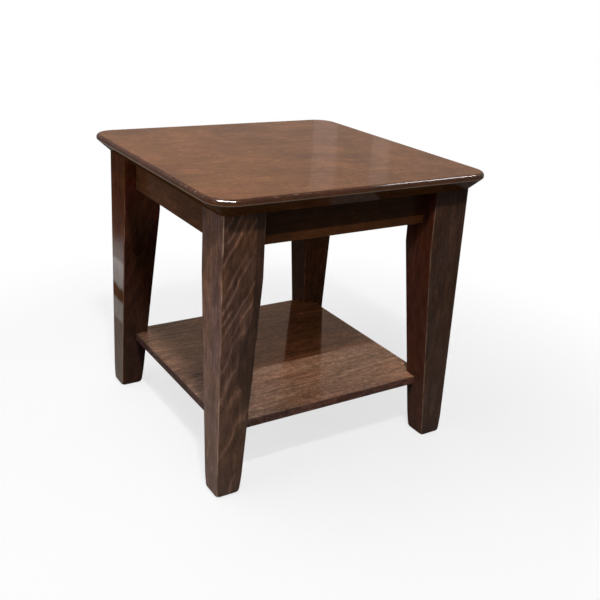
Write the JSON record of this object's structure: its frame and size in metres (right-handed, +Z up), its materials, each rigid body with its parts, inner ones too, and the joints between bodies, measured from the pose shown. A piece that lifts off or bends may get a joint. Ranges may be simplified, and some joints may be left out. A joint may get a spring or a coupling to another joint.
{
  "type": "end table with shelf",
  "caption": "Square end table: thick round-cornered top with an under-bevelled edge, square tapered legs, set-back aprons and a low notched shelf.",
  "frame": {"origin": "on the floor, under the middle of the table", "axes": "+Z up, the front faces -Y, +X to the right seen from the front"},
  "size_m": [0.61, 0.61, 0.59],
  "materials": {
    "top_wood": "dark walnut stain under satin lacquer",
    "leg_wood": "dark walnut stain under gloss lacquer",
    "apron_wood": "dark walnut stain under gloss lacquer",
    "shelf_wood": "dark walnut stain under gloss lacquer",
    "inner_wood": "bare sanded hardwood",
    "screw_steel": "yellow zinc plate"
  },
  "bodies": {
    "root": {"top_board_1": "top_wood", "top_board_2": "top_wood", "top_board_3": "top_wood", "top_board_4": "top_wood", "top_board_5": "top_wood", "leg_front_left": "leg_wood", "leg_front_right": "leg_wood", "leg_back_left": "leg_wood", "leg_back_right": "leg_wood", "apron_front": "apron_wood", "apron_back": "apron_wood", "apron_left": "apron_wood", "apron_right": "apron_wood", "shelf_board_1": "shelf_wood", "shelf_board_2": "shelf_wood", "shelf_board_3": "shelf_wood", "brace_front_left": "inner_wood", "brace_front_right": "inner_wood", "brace_back_left": "inner_wood", "brace_back_right": "inner_wood", "button_front": "inner_wood", "button_back": "inner_wood", "button_left": "inner_wood", "button_right": "inner_wood", "shelf_dowels": "inner_wood", "screws_brace": "screw_steel", "screws_top": "screw_steel", "screws_button": "screw_steel"}
  },
  "joints": []
}
